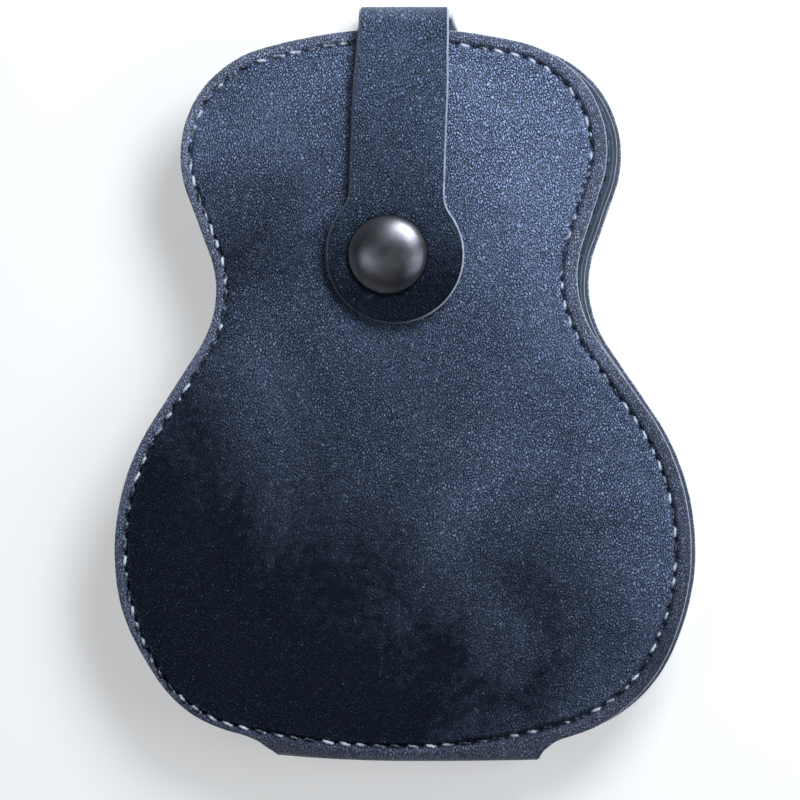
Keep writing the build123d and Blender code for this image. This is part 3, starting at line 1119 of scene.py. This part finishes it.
def make_strap():
    """The strap in three parts: the root's bend, the rise, and the flap with the top bend."""
    _, low, rise, high = strap_lengths

    def untuck(s):
        """How far the root's part is tucked under the back cover's tongue."""
        return tuck * (1 - smooth((s - tongue_end) / 3))

    first = strap_piece(
        "strap_root_skin", tongue_end - overlap, low + strap_run, lambda x, s: -untuck(s),
        lambda x, s: untuck(s) - leather,
    )
    stand_in(first, "strap_rise_leather")
    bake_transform(first)
    start, stop = low + strap_run - overlap, rise - strap_run + overlap
    middle = strap_piece("strap_rise_skin", start, stop, under_top, under_bottom)
    stand_in(middle, "strap_rise_leather", "strap_rise")

    loop, centre = strap_tab_loop(rise - strap_run)
    points = grid(loop.min(0), loop.max(0), 0.42)
    snap = cap_centre - (0, fold_y)

    def top(x, s):
        """The flap's grain face: crowned across, and pressed down round the cap."""
        spot = place_on_strap(x, s, np.zeros(len(x)))[:, :2] - (0, fold_y)
        away = np.hypot(*(spot - snap).T)
        h = -0.5 * np.exp(-((np.clip(away - cap_radius + 0.4, 0, None) / 1.1) ** 2)) * (s > high)
        side = strap_half_width(s)
        crown = np.where(s < centre[1] - tab_radius, 0.18 * (1 - (np.abs(x) / side) ** 2), 0.10)
        return h + crown * smooth((s - high) / 6) + 0.05 * roll(x, s, 6.0, 3.0) * smooth((s - high) / 6)

    flap = sheet(
        "strap_flap_skin", loop, points, place_on_strap, top, flat_bottom, strap_materials,
        edge=0.4, share=0.6, floor_step=1.0,
    )
    stand_in(flap, "strap_flap_leather")
    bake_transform(flap)


# ---------------- snap

def dome(radius, base, height, count=22):
    """A cap's top, from its rim to its crown: nearly flat in the middle, round at the shoulder."""
    t = np.linspace(0, pi / 2, count)
    return [(radius * cos(a) ** 0.9, base + height * sin(a) ** 1.15) for a in t]


def make_snap():
    """The cap with its hollow post, the socket on the post, and the stud with its bored neck."""
    foot, crown = cap_low[2], cap_high[2]
    rim = foot + cap_rim
    shoulder = rim + 0.30
    profile = [
        (0, rim + 0.4), (post_bore, rim + 0.4), (post_bore, foot), (post_radius, foot), (post_radius, rim),
    ]
    profile += rounded([(post_radius, rim), (cap_radius - 0.1, rim), (cap_radius, rim + 0.12)], 0.1)
    profile += dome(cap_radius, shoulder, crown - shoulder)
    piece = lathe("snap_cap_dome", profile, cap_centre, [gunmetal], 128)
    stand_in(piece, "snap_cap", "strap_flap")

    low, high = node_box("snap_socket")
    foot, crown = low[2], high[2]
    ring = rounded([
        (socket_mouth, foot + 0.25), (socket_mouth, foot), (3.3, foot), (3.6, foot + 0.15),
        (4.7, foot + 0.15), (socket_radius, foot + 0.35), (socket_radius, crown), (socket_groove, crown),
        (socket_groove, foot + 0.3), (socket_mouth + 0.05, foot + 0.3),
    ], 0.08, 3)
    piece = lathe("snap_socket_ring", ring, cap_centre, [nickel], 96, closed=True)
    stand_in(piece, "snap_socket", "strap_flap")

    low, high = node_box("snap_stud")
    foot, crown, face = low[2], high[2], thickness
    mouth = (stud_bore, crown - 0.25)
    stud = [(0, face + 0.6), (0.9, face + 0.6), (stud_bore, face + 0.8), mouth]
    stud += rounded([
        mouth, (1.35, crown), (1.75, crown), (stud_head, crown - 0.4), (stud_head, crown - 0.9),
        (stud_neck, face + 1.3), (stud_neck, face + 0.5), (3.9, face + 0.42), (stud_flange, face + 0.15),
        (stud_flange, face - 0.2), (stud_tube, face - 0.2), (stud_tube, foot), (0, foot),
    ], 0.14, 4)
    piece = lathe("snap_stud_post", stud, cap_centre, [nickel], 96)
    stand_in(piece, "snap_stud", "front_cover")
    show_as("snap_eyelet", nickel)
    show_as("snap_spring_ring", nickel)


# ---------------- studio

def make_world(scene):
    """A dim sky: grey near the horizon, and nearly black overhead."""
    scene.world = bpy.data.worlds.new("studio")
    scene.world.use_nodes = True
    tree = scene.world.node_tree
    height = node(tree, "SeparateXYZ", {0: node(tree, "TexCoord").outputs["Generated"]}).outputs[2]
    climb = ramp(tree, height, 0.45, 0.8)
    sky = blend_colour(tree, climb, (0.26, 0.28, 0.30), (0.015, 0.016, 0.018))
    tree.links.new(sky, tree.nodes["Background"].inputs["Color"])


def make_floor(scene):
    """A pale ground with a slight glow, a hair below the back cover."""
    side, low = 3.0, -0.03 * METRES
    corners = [(-side, -side, low), (side, -side, low), (side, side, low), (-side, side, low)]
    mesh = bpy.data.meshes.new("floor")
    mesh.from_pydata(corners, [], [(0, 1, 2, 3)])
    floor = bpy.data.objects.new("floor", mesh)
    scene.collection.objects.link(floor)
    material, _, shader = new_material("pale_floor")
    shader.inputs["Base Color"].default_value = (0.6, 0.6, 0.6, 1.0)
    shader.inputs["Roughness"].default_value = 0.8
    shader.inputs["Emission Color"].default_value = (1.0, 1.0, 1.0, 1.0)
    shader.inputs["Emission Strength"].default_value = 0.42
    mesh.materials.append(material)
    floor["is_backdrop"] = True


# (name, place and size in metres, power in watts)
lamps = [
    ("key", (0.13, 0.21, 0.25), 0.16, 1.35),
    ("side", (0.25, -0.03, 0.27), 0.20, 0.40),
    ("fill", (-0.26, -0.02, 0.53), 0.22, 0.34),
]


def make_lamps(scene):
    middle = Vector((0.0, 0.005, 0.012))
    for name, spot, size, power in lamps:
        light = bpy.data.lights.new(name, "AREA")
        light.size = size
        light.energy = power
        light.color = (0.88, 0.94, 1.0)
        lamp = bpy.data.objects.new(name, light)
        lamp.location = spot
        lamp.rotation_euler = (middle - Vector(spot)).to_track_quat("-Z", "Y").to_euler()
        scene.collection.objects.link(lamp)


def make_camera(scene):
    """A long lens nearly straight above the front cover, a little to its right."""
    camera = bpy.data.objects.new("camera", bpy.data.cameras.new("camera"))
    camera.data.lens = 251
    camera.data.clip_end = 10
    aim = Vector((-0.0011, -0.0007, 0.0125))
    distance, turn = 0.868, radians(2.5)
    camera.location = aim + distance * Vector((sin(turn), 0, cos(turn)))
    camera.rotation_euler = (0, turn, 0)
    scene.collection.objects.link(camera)
    scene.camera = camera


studio = bpy.context.scene
studio.view_settings.view_transform = "Standard"
make_world(studio)
make_floor(studio)
make_lamps(studio)
make_camera(studio)
for cover_side in ("front", "back"):
    make_cover(cover_side)
make_spine()
make_strap()
make_snap()

boxes = {"cad": cad_box, "visual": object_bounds()}
{name: [list(corner) for corner in box] for name, box in boxes.items()}
